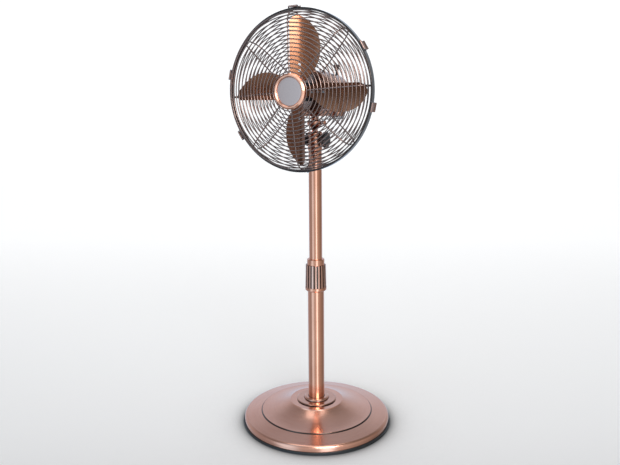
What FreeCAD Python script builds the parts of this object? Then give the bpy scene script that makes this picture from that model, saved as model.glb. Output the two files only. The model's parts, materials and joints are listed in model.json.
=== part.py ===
"""Pedestal fan with a telescopic pole, a tilting and swinging head and a wire guard.

Millimetres. The origin is the centre of the underside of the base, +Z is up, the fan blows along -Y
and +X is to the right of someone who stands in front of it.
"""
import FreeCAD, Part
import math
import os

V = FreeCAD.Vector
X, Y, Z = V(1, 0, 0), V(0, 1, 0), V(0, 0, 1)

# Clearances
run_fit = 0.06          # radial, shafts in bearings and bushes
slide_fit = 0.10        # radial, telescopic tubes
gap = 0.35              # between parts of different bodies that don't touch

# Driving sizes
rubber_r = 220.0        # foot of the base
outer_r = 23.8          # lower tube
outer_top = 470.0
inner_top = 822.0       # upper tube, at its lowest
housing_r = 58.0        # motor cover
guard_r = 212.0

# Base
rubber_h = 7.5
rubber_lip = 20.0
rubber_bevel = 1.5
cover_r = rubber_r - 3.5
cover_sheet = 1.5
rim_top_z = rubber_h + 17.5
shelf_r = 0.75 * rubber_r
shelf_z = rim_top_z + 8.0
shelf_step = 3.0
weight_r = rubber_r - rubber_lip + 8.0
weight_bottom = rubber_h + 2.5
weight_h = 6.0
flange_mid_r = outer_r + 34.7
flange_mid_h = 4.0
flange_top_r = outer_r + 13.2
flange_top_h = 6.0
crown_r = flange_mid_r + 20.5
crown_z = shelf_z + 28.0
crown_step = 3.0
socket_wall = 6.0
socket_flange_r = outer_r + 28.2
socket_flange_h = 5.0
socket_h = 38.0
foot_plug_h = 26.0
bolt_r = 5.0
bolt_slack = 0.5
bolt_head_r = 9.0
bolt_head_h = 5.0
washer_r = 16.0
washer_h = 1.5

# Pole
outer_wall = 2.0
inner_r = outer_r - outer_wall - 3.0
inner_wall = 1.6
inner_bottom = outer_top - 70.0
bush_h = 25.0
collar_z = outer_top - 67.0
seat_r = outer_r + 7.2
seat_h = 10.5
seat_bevel = 3.0
grip_h = 66.5
grip_r_low = outer_r + 6.7
grip_r_high = outer_r + 5.2
grip_ribs = 20
groove_w = 4.2
groove_depth = 2.6
cap_r = inner_r + 6.4
cap_h = 17.0
collet_h = 16.0
collet_skirt = 30.0
collet_slot = 2.5

# Neck and tilt
pivot_z = inner_top + 16.0
cup_r = inner_r + 1.4
cup_bore = inner_r - 1.3
cup_top = pivot_z + 22.0
cup_bottom = inner_top - 14.0
cup_flat = inner_r
tilt_bolt_r = 4.0
tilt_head_r = 7.0
tilt_head_h = 4.5
end_cap_r = cup_flat - 0.5
end_cap_h = 6.5
insert_r = tilt_bolt_r + 2.5
knob_shank_r = insert_r + 3.0
knob_shank_l = 9.0
knob_r = 22.0
knob_l = 10.0
tilt_bolt_end = cup_flat + knob_shank_l + knob_l - 6.5
knob_flutes = 24
knob_soft = 2.0
tongue_half = 6.0
tongue_round = 11.0
tongue_neck = 6.0
tongue_flare_z = cup_top + 6.0
platform_z = cup_top + 20.0
platform_h = 10.0
platform_r = 22.0
spindle_r = 6.0
spindle_top = platform_z + platform_h + 18.0
spindle_seat = 12.0
thrust_r = 2 * spindle_r
thrust_h = 1.5
anchor_x = platform_r + 4.0
anchor_r = 3.0
anchor_h = 2.4
ear_r = 8.0

# Head
head_z = pivot_z + housing_r + 72.0
housing_wall = 2.0
housing_bend = 8.0
housing_front_y = -27.0
housing_joint_y = 18.0
housing_plain_y = 38.0
housing_tail_r = housing_r - 8.0
housing_tail_y = 118.0
housing_end_y = housing_tail_y + 30.0
nose_r = 15.0
nose_y = -48.0
nose_bore = 10.0
boss_r = spindle_r + 5.0
saddle_half = 24.0
saddle_front = -20.0
saddle_back = 60.0
saddle_z = head_z - housing_r - 7.0
saddle_h = 18.0
stator_r = housing_r - 8.0
stator_bore = stator_r - 26.0
stator_y = 5.0
stator_l = 30.0
winding_out = stator_r - 4.0
winding_in = stator_bore + 3.0
winding_l = 12.0
bracket_plate = 3.0
bracket_front_y = -16.0
bracket_back_y = 55.0
bracket_hole_r = 8.0
bearing_r = 9.0
bearing_l = 12.0
case_r = 24.0
case_wall = 2.5
case_bottom = saddle_z - 2.0
case_top = head_z - 16.0

# Swing gear
worm_r = 5.4
worm_core = 4.6
worm_l = 16.0
worm_pitch = 3.2
wheel_r = 13.2
wheel_x = worm_r + wheel_r + 0.4
wheel_y = 100.0
wheel_h = 12.0
wheel_teeth = 28
tooth_depth = 1.6
tooth_half = 0.55
clutch_r = 4.0
crank_disc_r = case_r - 2.0
crank_disc_h = 3.0
crank_disc_z = platform_z + platform_h + 7.0
crank_r = crank_disc_r - 5.3
crank_pin_r = 3.0
link_h = 3.0
link_z = platform_z + platform_h + 3.0
link_w = 8.0
link_eye_r = 6.5
link_elbow_y = 14.0
pull_rod_r = 3.0
pull_knob_low = head_z + housing_r + 2.0
pull_knob_h = 17.0
pull_knob_r = 9.0

# Controls at the back
dial_z = head_z - 24.0
dial_boss_r = 17.0
dial_boss_y = housing_end_y + 1.0
dial_r = 14.0
dial_l = 14.0
dial_bar = 3.5
dial_stem_r = 3.0
switch_half = 10.0
switch_y = housing_tail_y + 8.0
switch_l = dial_boss_y - 2.0 - switch_y
gland_x = -20.0
gland_y = housing_tail_y + 4.0
gland_r = 5.0
gland_bore = 3.2

# Rotor
shaft_r = 4.0
rotor_r = stator_bore - 0.5
hub_r = 20.0
hub_front = -104.0
hub_back = -76.0
shaft_front = hub_front - 8.0
shaft_back = wheel_y + 12.0
blade_count = 4
blade_tip = guard_r - 19.0
blade_root = 26.0
blade_trail = -21.0
blade_lead = 53.0
blade_trail_y = hub_front + 4.0
blade_lead_y = hub_back + 7.0
blade_camber = 150.0
blade_sheet = 1.2
arm_sheet = 2.0
arm_half = 11.0
arm_tip = 78.0
rivet_r = 2.0
rivet_head_r = 3.6
rivet_head_h = 1.4
nut_r = 14.0
nut_front = shaft_front - 9.0

# Guard
band_w = 16.0
band_sheet = 1.0
band_y = -91.2
rim_wire_r = 2.25
rim_wire_gap = 4.5
wire_r = 1.5
rib_r = 1.7
ring_count = 17
ring_start = 49.5
ring_pitch = (guard_r - 38.6) / ring_count
guard_edge_r = guard_r - 5.0
front_depth = 46.0
front_shoulder = 34.0
rear_depth = 51.0
rear_shoulder = 38.0
rib_count = 8
rib_turn = 3.75
rib_in_r = 38.0
plate_r = rib_in_r + 9.0
plate_sheet = 2.0
guard_nut_r = nose_r + 10.0
guard_nut_l = 8.0
nut_notches = 12
badge_r = 36.5
badge_h = 3.0
badge_ring_r = badge_r + 9.0
badge_stand = 6.0
badge_recess = 3.0
badge_ring_h = 11.0

# Clips on the rim
clip_angles = [92.5, 31.0, -11.0, 167.0, 213.0]
clip_w = 24.0
clip_sheet = 1.4
clip_lift = 1.6
clip_pin_r = 1.2
clip_pin_lift = 3.2
clip_hook = 4.0
ear_sheet = 1.5
screw_angle = 277.0
screw_head_r = 3.2
screw_head_h = 2.2

# Worked out
band_front = band_y - band_w / 2
band_back = band_y + band_w / 2
clip_pin_y = band_front - 1.6
front_plane = band_y - rim_wire_gap
rear_plane = band_y + rim_wire_gap
front_centre = front_plane - front_depth
rear_centre = rear_plane + rear_depth
seat_top = collar_z + seat_h
grip_top = seat_top + grip_h
outer_bottom = weight_bottom + weight_h + socket_flange_h
crown_top = crown_z + crown_step
platform_top = platform_z + platform_h
rib_offset = wire_r + rib_r + 0.05


def rod(radius, start, axis, length):
    return Part.makeCylinder(radius, length, start, axis)


def tube(outer, inner, start, axis, length):
    return rod(outer, start, axis, length).cut(rod(inner, start, axis, length))


def box(low, high):
    size = high - low
    return Part.makeBox(size.x, size.y, size.z, low)


def outline(place, start, *moves):
    """A closed face. A move is a point, or a pair (point passed through, end) for an arc."""
    edges = []
    here = start
    for move in moves + (start,):
        if isinstance(move[0], tuple):
            through, end = move
            edges.append(Part.Arc(place(*here), place(*through), place(*end)).toShape())
        else:
            end = move
            if end != here:
                edges.append(Part.LineSegment(place(*here), place(*end)).toShape())
        here = end
    return Part.Face(Part.Wire(edges))


def turned(start, *moves):
    """Turned about the pole's axis from an outline of (radius, height)."""
    return outline(lambda r, h: V(r, 0, h), start, *moves).revolve(V(0, 0, 0), Z, 360)


def spun(start, *moves):
    """Turned about the motor's axis from an outline of (radius, place along Y)."""
    return outline(lambda r, y: V(r, y, head_z), start, *moves).revolve(V(0, 0, head_z), Y, 360)


def on_head(radius, degrees, y):
    """A point at a radius and an angle about the motor's axis, counted from +X towards +Z."""
    a = math.radians(degrees)
    return V(radius * math.cos(a), y, head_z + radius * math.sin(a))


def about_head(shape, degrees):
    """A copy turned about the motor's axis, from +X towards +Z."""
    out = shape.copy()
    out.rotate(V(0, 0, head_z), Y, -degrees)
    return out


# Base


def base_rubber_ring():
    inner = rubber_r - rubber_lip
    tuck = cover_r - cover_sheet - 0.1
    lip_top = weight_bottom + 2.5
    return turned(
        (inner, 0), (rubber_r - rubber_bevel, 0), (rubber_r, rubber_bevel),
        (rubber_r, rubber_h - rubber_bevel), (rubber_r - rubber_bevel, rubber_h), (tuck, rubber_h),
        (tuck, lip_top), (tuck - 4.0, lip_top), (tuck - 4.0, weight_bottom), (inner, weight_bottom),
    )


def base_weight():
    plate = rod(weight_r, V(0, 0, weight_bottom), Z, weight_h)
    return plate.cut(rod(bolt_r + bolt_slack, V(0, 0, weight_bottom), Z, weight_h))


def base_cover():
    """Rolled edge, flat shelf, a small step and a hollow cone up to the crown."""
    t = cover_sheet
    hole = outer_r + 1.5
    edge = (cover_r - 2.6, rim_top_z - 3.0)
    foot = shelf_r - 1.5
    bow = ((foot + crown_r) / 2, (shelf_z + shelf_step + crown_z) / 2 - 5.0)
    top = crown_z + crown_step
    return turned(
        (cover_r, rubber_h),
        (cover_r, rim_top_z - 10.0),
        (edge, (cover_r - 9.0, rim_top_z)),
        (shelf_r, shelf_z),
        (foot, shelf_z + shelf_step),
        (bow, (crown_r, crown_z)),
        (crown_r - 1.0, top),
        (hole, top),
        (hole, top - t),
        (crown_r - 1.0 - t, top - t),
        (crown_r - t, crown_z - t),
        ((bow[0] - 0.5, bow[1] - t), (foot - 0.5, shelf_z + shelf_step - t)),
        (shelf_r - 0.5, shelf_z - t),
        (cover_r - 9.0 - t, rim_top_z - t),
        ((edge[0] - t, edge[1] - t), (cover_r - t, rim_top_z - 10.0)),
        (cover_r - t, rubber_h),
    )


def pole_flange():
    """Two stepped rings round the foot of the pole."""
    low = crown_top
    mid = low + flange_mid_h
    top = mid + flange_top_h
    return turned(
        (outer_r, low), (flange_mid_r, low), (flange_mid_r, mid - 1.5), (flange_mid_r - 2.5, mid),
        (flange_top_r, mid), (flange_top_r - 1.0, top - 2.0), (flange_top_r - 4.0, top),
        (outer_r, top),
    )


def pole_socket():
    low = weight_bottom + weight_h
    flange = rod(socket_flange_r, V(0, 0, low), Z, socket_flange_h)
    boss = rod(outer_r + socket_wall, V(0, 0, low), Z, socket_h)
    bore = rod(outer_r, V(0, 0, outer_bottom), Z, socket_h)
    return flange.fuse(boss).cut(bore).cut(rod(bolt_r + bolt_slack, V(0, 0, low), Z, socket_h))


def outer_tube():
    """The lower tube, with a tapped plug welded into its foot."""
    wall = tube(outer_r, outer_r - outer_wall, V(0, 0, outer_bottom), Z, outer_top - outer_bottom)
    plug = rod(outer_r - outer_wall, V(0, 0, outer_bottom), Z, foot_plug_h)
    return wall.fuse(plug).cut(rod(bolt_r, V(0, 0, outer_bottom), Z, foot_plug_h))


def base_bolt():
    """The hexagon bolt that draws the pole down from below, and its washer."""
    washer_low = weight_bottom - washer_h
    head_low = washer_low - bolt_head_h
    corners = [on_hexagon(bolt_head_r, k, head_low) for k in range(7)]
    head = Part.Face(Part.makePolygon(corners)).extrude(Z * bolt_head_h)
    shank = rod(bolt_r, V(0, 0, head_low), Z, outer_bottom + foot_plug_h - 4.0 - head_low)
    washer = tube(washer_r, bolt_r + 0.4, V(0, 0, washer_low), Z, washer_h)
    return Part.makeCompound([head.fuse(shank), washer])


def on_hexagon(radius, k, z):
    a = math.radians(60 * k)
    return V(radius * math.cos(a), radius * math.sin(a), z)


# Height lock


def collar_seat():
    return turned(
        (outer_r, collar_z), (seat_r - seat_bevel, collar_z), (seat_r, collar_z + seat_bevel),
        (seat_r, seat_top), (outer_r, seat_top),
    )


def clamp_collet():
    """Split sleeve: the skirt lines the outer tube and the head is squeezed by the collar."""
    bore = inner_r + slide_fit
    skirt_low = outer_top - collet_skirt
    body = turned(
        (bore, skirt_low), (outer_r - outer_wall, skirt_low), (outer_r - outer_wall, outer_top),
        (outer_r, outer_top), (outer_r - 0.5, outer_top + collet_h), (bore, outer_top + collet_h),
    )
    slot = box(V(0, -collet_slot / 2, skirt_low), V(outer_r + 1, collet_slot / 2, outer_top + collet_h))
    return body.cut(slot)


def collar_grip():
    low = seat_top + gap
    grip = turned(
        (outer_r + gap, low), (grip_r_low, low), (grip_r_high, grip_top), (outer_r + gap, grip_top),
    )
    groove = box(
        V(grip_r_high - groove_depth, -groove_w / 2, low),
        V(grip_r_low + 1, groove_w / 2, grip_top),
    )
    for k in range(grip_ribs):
        next_groove = groove.copy()
        next_groove.rotate(V(0, 0, 0), Z, 360 * k / grip_ribs)
        grip = grip.cut(next_groove)
    return grip


def collar_cap():
    """Plain top ring, closed round the inner tube above the collet."""
    top = grip_top + cap_h
    floor = outer_top + collet_h + gap
    return turned(
        (outer_r + gap, grip_top), (cap_r, grip_top), (cap_r, top - 1.5), (cap_r - 1.5, top),
        (inner_r + gap, top), (inner_r + gap, floor), (outer_r + gap, floor),
    )


# Mast


def inner_tube():
    return tube(inner_r, inner_r - inner_wall, V(0, 0, inner_bottom), Z, inner_top - inner_bottom)


def guide_bush():
    outside = outer_r - outer_wall - slide_fit
    return tube(outside, inner_r, V(0, 0, inner_bottom), Z, bush_h)


def neck_cup():
    """Cup on top of the inner tube; flats on both sides seat the tilt knob and its end cap."""
    cup = turned(
        (inner_r, cup_bottom), (cup_r - 1.0, cup_bottom), (cup_r, cup_bottom + 1.0),
        (cup_r, cup_top - 1.0), (cup_r - 1.0, cup_top), (cup_bore, cup_top),
        (cup_bore, inner_top), (inner_r, inner_top),
    )
    for side in (-1, 1):
        face = V(side * cup_flat, 0, pivot_z)
        cup = cup.cut(rod(end_cap_r + 0.5, face, X * side, cup_r))
    return cup.cut(rod(tilt_bolt_r, V(-cup_r, 0, pivot_z), X, 2 * cup_r))


def tilt_bolt():
    head = rod(tilt_head_r, V(-cup_flat, 0, pivot_z), -X, tilt_head_h)
    shank = rod(tilt_bolt_r, V(-cup_flat, 0, pivot_z), X, cup_flat + tilt_bolt_end)
    return head.fuse(shank)


def tilt_end_cap():
    start = V(-cup_flat, 0, pivot_z)
    cap = rod(end_cap_r, start, -X, end_cap_h)
    cap = cap.makeFillet(knob_soft, [e for e in cap.Edges if e.BoundBox.XMax < -cup_flat - 1])
    return cap.cut(rod(tilt_head_r, start, -X, tilt_head_h))


def tilt_knob_grip():
    """Fluted knob on a round shank."""
    start = cup_flat + gap
    neck = start + knob_shank_l
    face = neck + knob_l
    shank = rod(knob_shank_r, V(start, 0, pivot_z), X, knob_shank_l)
    head = rod(knob_r, V(neck, 0, pivot_z), X, knob_l)
    head = head.makeFillet(knob_soft, [e for e in head.Edges if e.BoundBox.XLength < 0.01])
    for k in range(knob_flutes):
        a = 2 * math.pi * k / knob_flutes
        centre = V(neck, (knob_r + 1.0) * math.cos(a), pivot_z + (knob_r + 1.0) * math.sin(a))
        head = head.cut(rod(2.0, centre, X, knob_l))
    return shank.fuse(head).cut(rod(insert_r, V(start, 0, pivot_z), X, face - 3.0 - start))


def tilt_knob_insert():
    start = cup_flat + gap
    length = tilt_bolt_end + 2.0 - start
    return tube(insert_r, tilt_bolt_r + gap, V(start, 0, pivot_z), X, length)


# Tilting neck


def tilt_tongue():
    """Tongue in the cup, flared up to a round platform with an ear for the link's anchor."""
    eye = rod(tongue_round, V(-tongue_half, 0, pivot_z), X, 2 * tongue_half)
    stem = outline(
        lambda y, z: V(-tongue_half, y, z),
        (-tongue_round, pivot_z), (tongue_round, pivot_z), (tongue_neck, cup_top),
        (tongue_neck, platform_z), (-tongue_neck, platform_z), (-tongue_neck, cup_top),
    ).extrude(X * 2 * tongue_half)
    flare = turned(
        (0, tongue_flare_z), (tongue_neck, tongue_flare_z), (platform_r, platform_z),
        (platform_r, platform_top), (0, platform_top),
    )
    ear = rod(ear_r, V(anchor_x, 0, platform_z), Z, platform_h)
    web = box(V(0, -ear_r, platform_z), V(anchor_x, ear_r, platform_top))
    body = eye.fuse([stem, flare, ear, web])
    body = body.cut(rod(tilt_bolt_r + run_fit, V(-tongue_half, 0, pivot_z), X, 2 * tongue_half))
    body = body.cut(rod(anchor_r, V(anchor_x, 0, platform_z), Z, platform_h))
    seat = rod(spindle_r, V(0, 0, platform_top - spindle_seat), Z, spindle_seat)
    return body.cut(seat).removeSplitter()


def osc_spindle():
    low = platform_top - spindle_seat
    return rod(spindle_r, V(0, 0, low), Z, spindle_top - low)


def thrust_washer():
    return tube(thrust_r, spindle_r, V(0, 0, platform_top), Z, thrust_h)


def anchor_pin():
    return rod(anchor_r, V(anchor_x, 0, platform_z), Z, platform_h + anchor_h)


# Head shells


def nose_tube():
    return tube(nose_r, nose_bore, V(0, nose_y, head_z), Y, housing_front_y + housing_wall - nose_y)


def housing_front():
    """Front cup of the motor cover, with the nose that carries the rear guard."""
    t = housing_wall
    flat = housing_r - housing_bend
    bend_y = housing_front_y + housing_bend
    out_mid = (flat + housing_bend * math.sqrt(0.5), bend_y - housing_bend * math.sqrt(0.5))
    in_mid = (flat + (housing_bend - t) * math.sqrt(0.5), bend_y - (housing_bend - t) * math.sqrt(0.5))
    cup = spun(
        (nose_bore, housing_front_y), (flat, housing_front_y), (out_mid, (housing_r, bend_y)),
        (housing_r, housing_joint_y), (housing_r - t, housing_joint_y), (housing_r - t, bend_y),
        (in_mid, (flat, housing_front_y + t)), (nose_bore, housing_front_y + t),
    )
    return cup.fuse(nose_tube()).removeSplitter()


def tail_bend(inset):
    """Middle and end of the rounded corner at the back of the tail, as (radius, place along Y)."""
    bend = housing_end_y - housing_tail_y - inset
    flat = housing_tail_r - (housing_end_y - housing_tail_y)
    half = bend * math.sqrt(0.5)
    return (flat + half, housing_tail_y + half), (flat, housing_tail_y + bend)


def tail_cover():
    t = housing_wall
    return spun(
        (housing_r, housing_joint_y), (housing_r, housing_plain_y),
        (housing_tail_r, housing_tail_y), tail_bend(0),
        (0, housing_end_y), (0, housing_end_y - t), tail_bend(t)[1],
        (tail_bend(t)[0], (housing_tail_r - t, housing_tail_y)),
        (housing_r - t, housing_plain_y), (housing_r - t, housing_joint_y),
    )


def vent_slots():
    """Rows of cooling slots on both sides of the tail."""
    slots = []
    for side in (0, 180):
        for row in range(5):
            slot = box(
                V(housing_tail_r - 14.0, 46.0, head_z - 1.6), V(housing_r + 6.0, 92.0, head_z + 1.6)
            )
            slots.append(about_head(slot, side + (row - 2) * 11.0))
    return slots


def housing_rear():
    """Tapered rear cover with a round tail, cooling slots and the boss of the speed dial."""
    shell = tail_cover()
    boss = rod(dial_boss_r, V(0, housing_tail_y, dial_z), Y, dial_boss_y - housing_tail_y)
    hollow = rod(dial_boss_r - 2.0, V(0, housing_tail_y, dial_z), Y, dial_boss_y - 2.0 - housing_tail_y)
    inside = spun(
        (0, housing_joint_y), (housing_r - housing_wall, housing_joint_y),
        (housing_r - housing_wall, housing_plain_y),
        (housing_tail_r - housing_wall, housing_tail_y),
        tail_bend(housing_wall), (0, housing_end_y - housing_wall),
    )
    shell = shell.fuse(boss.cut(inside)).cut(hollow)
    shell = shell.cut(rod(dial_stem_r + gap, V(0, dial_boss_y - 4.0, dial_z), Y, 6.0))
    shell = shell.cut(rod(case_r, V(wheel_x, wheel_y, case_bottom), Z, head_z - case_bottom))
    shell = shell.cut(rod(pull_rod_r + gap, V(wheel_x, wheel_y, head_z), Z, housing_r + 6.0))
    shell = shell.cut(rod(gland_r, V(gland_x, gland_y, head_z - housing_r), Z, 30.0))
    for slot in vent_slots():
        shell = shell.cut(slot)
    return shell.removeSplitter()


def head_saddle():
    """Cast cradle under the motor cover, with the bearing boss of the swing."""
    boss_low = platform_top + thrust_h + gap
    boss = rod(boss_r, V(0, 0, boss_low), Z, saddle_z + 6.0 - boss_low)
    cradle = box(V(-saddle_half, saddle_front, saddle_z), V(saddle_half, saddle_back, saddle_z + saddle_h))
    body = boss.fuse(cradle)
    body = body.cut(rod(housing_r, V(0, saddle_front - 1, head_z), Y, saddle_back - saddle_front + 2))
    bore = rod(spindle_r + run_fit, V(0, 0, boss_low), Z, spindle_top + 0.5 - boss_low)
    return body.cut(bore)


# Motor


def motor_bracket(plate_y, inward, bracket_r):
    """End bracket: a plate with cooling holes, a bearing boss and a skirt over the core."""
    skirt_l = abs(stator_y + stator_l / 2 - plate_y) - 0.2
    start = V(0, plate_y, head_z)
    plate = rod(bracket_r, start, Y * inward, bracket_plate)
    skirt = tube(bracket_r, stator_r, start, Y * inward, skirt_l)
    boss = rod(bearing_r + 3.5, start, Y * inward, bearing_l - 3.0)
    body = plate.fuse([skirt, boss])
    for k in range(6):
        hole = rod(bracket_hole_r, V(stator_r - 18.0, plate_y, head_z), Y * inward, bracket_plate)
        body = body.cut(about_head(hole, 60 * k + 30))
    return body.cut(rod(bearing_r, start, Y * inward, bearing_l)).removeSplitter()


def motor_bearing(plate_y, inward):
    return tube(bearing_r, shaft_r + run_fit, V(0, plate_y, head_z), Y * inward, bearing_l - 3.0)


def motor_brackets():
    """The front one fits the bore of the motor cover; the back one clears its taper."""
    bore = housing_r - housing_wall
    front = motor_bracket(bracket_front_y, 1, bore)
    back = motor_bracket(bracket_back_y, -1, bore - 2.0)
    return Part.makeCompound([front, back])


def motor_bearings():
    return Part.makeCompound([motor_bearing(bracket_front_y, 1), motor_bearing(bracket_back_y, -1)])


def stator_core():
    return tube(stator_r, stator_bore, V(0, stator_y, head_z), Y, stator_l)


def stator_windings():
    rings = []
    for start in (stator_y - winding_l, stator_y + stator_l):
        ring = tube(winding_out, winding_in, V(0, start, head_z), Y, winding_l)
        rings.append(ring.makeFillet(3.5, [e for e in ring.Edges if e.BoundBox.YLength < 0.01]))
    return Part.makeCompound(rings)


def capacitor():
    """Run capacitor, beside the shaft behind the motor."""
    low = V(14.0 - housing_tail_r, bracket_back_y + 9.0, head_z + 8.0)
    body = box(low, low + V(22.0, 34.0, 24.0))
    return body.makeFillet(2.0, body.Edges)


def speed_switch():
    low = V(-switch_half, switch_y, dial_z - switch_half)
    return box(low, V(switch_half, switch_y + switch_l, dial_z + switch_half))


def cord_gland():
    """Grommet in the underside of the tail, where the supply cord would enter."""
    low = head_z - housing_tail_r - 9.0
    start = V(gland_x, gland_y, low)
    head = rod(gland_r + 3.0, start, Z, 7.0)
    sleeve = rod(gland_r, start, Z, 22.0)
    return head.cut(tail_cover()).fuse(sleeve).cut(rod(gland_bore, start, Z, 22.0))


def gear_case():
    """Round oil case under the tail; the crank's shaft leaves it through the floor."""
    centre = V(wheel_x, wheel_y, case_bottom)
    case = rod(case_r, centre, Z, case_top - case_bottom)
    hollow = rod(case_r - case_wall, centre + Z * case_wall, Z, case_top - case_bottom)
    return case.cut(hollow).cut(rod(clutch_r + run_fit, centre, Z, case_wall))


# Swing gear


def worm_wheel():
    low = V(wheel_x, wheel_y, head_z - wheel_h / 2)
    wheel = rod(wheel_r, low, Z, wheel_h)
    for k in range(wheel_teeth):
        tooth_gap = box(V(wheel_r - tooth_depth, -tooth_half, 0), V(wheel_r + 1.0, tooth_half, wheel_h))
        tooth_gap.rotate(V(0, 0, 0), Z, 360 * k / wheel_teeth)
        tooth_gap.translate(low)
        wheel = wheel.cut(tooth_gap)
    return wheel.cut(rod(clutch_r + run_fit, low, Z, wheel_h))


def crank():
    """Clutch shaft, crank disc and crank pin, pressed together."""
    centre = V(wheel_x, wheel_y, crank_disc_z)
    disc = rod(crank_disc_r, centre, Z, crank_disc_h)
    shaft = rod(clutch_r, centre, Z, head_z + wheel_h / 2 - crank_disc_z)
    pin_length = crank_disc_z - link_z + 1.0
    pin = rod(crank_pin_r, V(wheel_x + crank_r, wheel_y, crank_disc_z - pin_length), Z, pin_length)
    return disc.fuse([shaft, pin]).removeSplitter()


def link_bar(start, end):
    """A flat bar between two points at the link's height."""
    run = end - start
    bar = box(V(0, -link_w / 2, 0), V(run.Length, link_w / 2, link_h))
    bar.rotate(V(0, 0, 0), Z, math.degrees(math.atan2(run.y, run.x)))
    bar.translate(start)
    return bar


def swing_link():
    """Flat link from the crank pin to the anchor, with an elbow that passes the swing's boss."""
    pin = V(wheel_x + crank_r, wheel_y, link_z)
    elbow = V(pin.x, link_elbow_y, link_z)
    anchor = V(anchor_x, 0, link_z)
    eyes = [rod(link_eye_r, pin, Z, link_h), rod(link_eye_r, anchor, Z, link_h)]
    corner = rod(link_w / 2, elbow, Z, link_h)
    body = link_bar(pin, elbow).fuse([link_bar(elbow, anchor), corner] + eyes)
    body = body.cut(rod(crank_pin_r + gap, pin, Z, link_h))
    return body.cut(rod(anchor_r + gap, anchor, Z, link_h)).removeSplitter()


def swing_knob():
    """Pull knob with its rod, which lifts the clutch and stops the swing."""
    low = head_z + wheel_h / 2 + gap
    start = V(wheel_x, wheel_y, low)
    pull_rod = rod(pull_rod_r, start, Z, pull_knob_low + 4.0 - low)
    knob = outline(
        lambda r, z: V(wheel_x + r, wheel_y, z),
        (0, pull_knob_low), (pull_knob_r - 3.5, pull_knob_low),
        (pull_knob_r - 3.0, pull_knob_low + 6.0), (pull_knob_r, pull_knob_low + pull_knob_h - 5.0),
        (pull_knob_r, pull_knob_low + pull_knob_h - 2.0),
        (pull_knob_r - 2.0, pull_knob_low + pull_knob_h), (0, pull_knob_low + pull_knob_h),
    ).revolve(V(wheel_x, wheel_y, 0), Z, 360)
    return pull_rod.fuse(knob).removeSplitter()


def speed_dial():
    """Dial with a raised finger bar, and its stem into the switch."""
    low = dial_boss_y + gap
    skirt = rod(dial_r, V(0, low, dial_z), Y, dial_l - 7.0)
    reach = dial_r - 1.5
    bar = box(V(-dial_bar, low, dial_z - reach), V(dial_bar, low + dial_l, dial_z + reach))
    stem_low = switch_y + switch_l + gap
    stem = rod(dial_stem_r, V(0, stem_low, dial_z), Y, low - stem_low)
    return skirt.fuse([bar, stem]).removeSplitter()


# Rotor


def rotor_shaft():
    """Shaft with the worm cut into its back end."""
    shaft = rod(shaft_r, V(0, shaft_front, head_z), Y, shaft_back - shaft_front)
    worm_low = wheel_y - worm_l / 2
    core = rod(worm_core, V(0, worm_low, head_z), Y, worm_l)
    threads = []
    turns = int(worm_l / worm_pitch)
    for k in range(turns):
        y = worm_low + worm_pitch * k + 0.8
        threads.append(rod(worm_r, V(0, y, head_z), Y, worm_pitch / 2))
    return shaft.fuse([core] + threads).removeSplitter()


def rotor_core():
    return tube(rotor_r, shaft_r, V(0, stator_y - 1.0, head_z), Y, stator_l + 2.0)


def camber_centre():
    """Centre of the blade's section arc, as (across, along Y)."""
    across = blade_lead - blade_trail
    along = blade_lead_y - blade_trail_y
    chord = math.hypot(across, along)
    reach = math.sqrt(blade_camber ** 2 - chord ** 2 / 4)
    mid = (blade_trail + blade_lead) / 2, (blade_trail_y + blade_lead_y) / 2
    return mid[0] + reach * along / chord, mid[1] - reach * across / chord


def bent_sheet(inner, outer):
    """A curved sheet whose axis runs outwards along +X, for the blade that points to +X."""
    across, along = camber_centre()
    start = V(0, along, head_z - across)
    return tube(outer, inner, start, X, blade_tip + 10.0)


def blade():
    """Leaf: straight trailing edge, round tip and a full bowed leading edge."""
    deep = blade_trail_y - 20.0
    face = outline(
        lambda u, v: V(u, deep, head_z - v),
        (blade_root, -12.0), (blade_root + 30.0, blade_trail), (blade_tip - 18.0, blade_trail),
        ((blade_tip - 4.0, -14.0), (blade_tip, 2.0)),
        ((blade_tip - 42.0, blade_lead - 9.0), (112.0, blade_lead)),
        ((70.0, blade_lead - 9.0), (40.0, 22.0)),
        (blade_root, 12.0),
    )
    half = blade_sheet / 2
    prism = face.extrude(Y * 80.0)
    holes = [rivet_at(u, rivet_r, -8.0, 16.0) for u in rivet_places()]
    leaf = prism.common(bent_sheet(blade_camber - half, blade_camber + half))
    return leaf.cut(holes[0]).cut(holes[1]).cut(holes[2])


def rivet_places():
    return (blade_root + 10.0, (blade_root + arm_tip) / 2 + 2.0, arm_tip - 8.0)


def rivet_at(u, radius, start, length):
    """A rod square to the sheet on the blade's centre line; start is counted from the blade's mid sheet."""
    across, along = camber_centre()
    rise = math.sqrt(blade_camber ** 2 - across ** 2)
    normal = V(0, rise, across).multiply(1 / blade_camber)
    foot = V(u, along + rise, head_z)
    return rod(radius, foot + normal * start, normal, length)


def rivet(u):
    front = -blade_sheet / 2 - 0.06
    back = blade_sheet / 2 + arm_sheet + 0.06
    shank = rivet_at(u, rivet_r, front - rivet_head_h, back - front + 2 * rivet_head_h)
    head = rivet_at(u, rivet_head_r, front - rivet_head_h, rivet_head_h)
    tail = rivet_at(u, rivet_head_r, back, rivet_head_h)
    return shank.fuse([head, tail]).removeSplitter()


def blade_angle(k):
    return 360 * k / blade_count


def fan_blades():
    leaf = blade()
    return Part.makeCompound([about_head(leaf, blade_angle(k)) for k in range(blade_count)])


def blade_rivets():
    out = []
    for k in range(blade_count):
        out += [about_head(rivet(u), blade_angle(k)) for u in rivet_places()]
    return Part.makeCompound(out)


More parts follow.
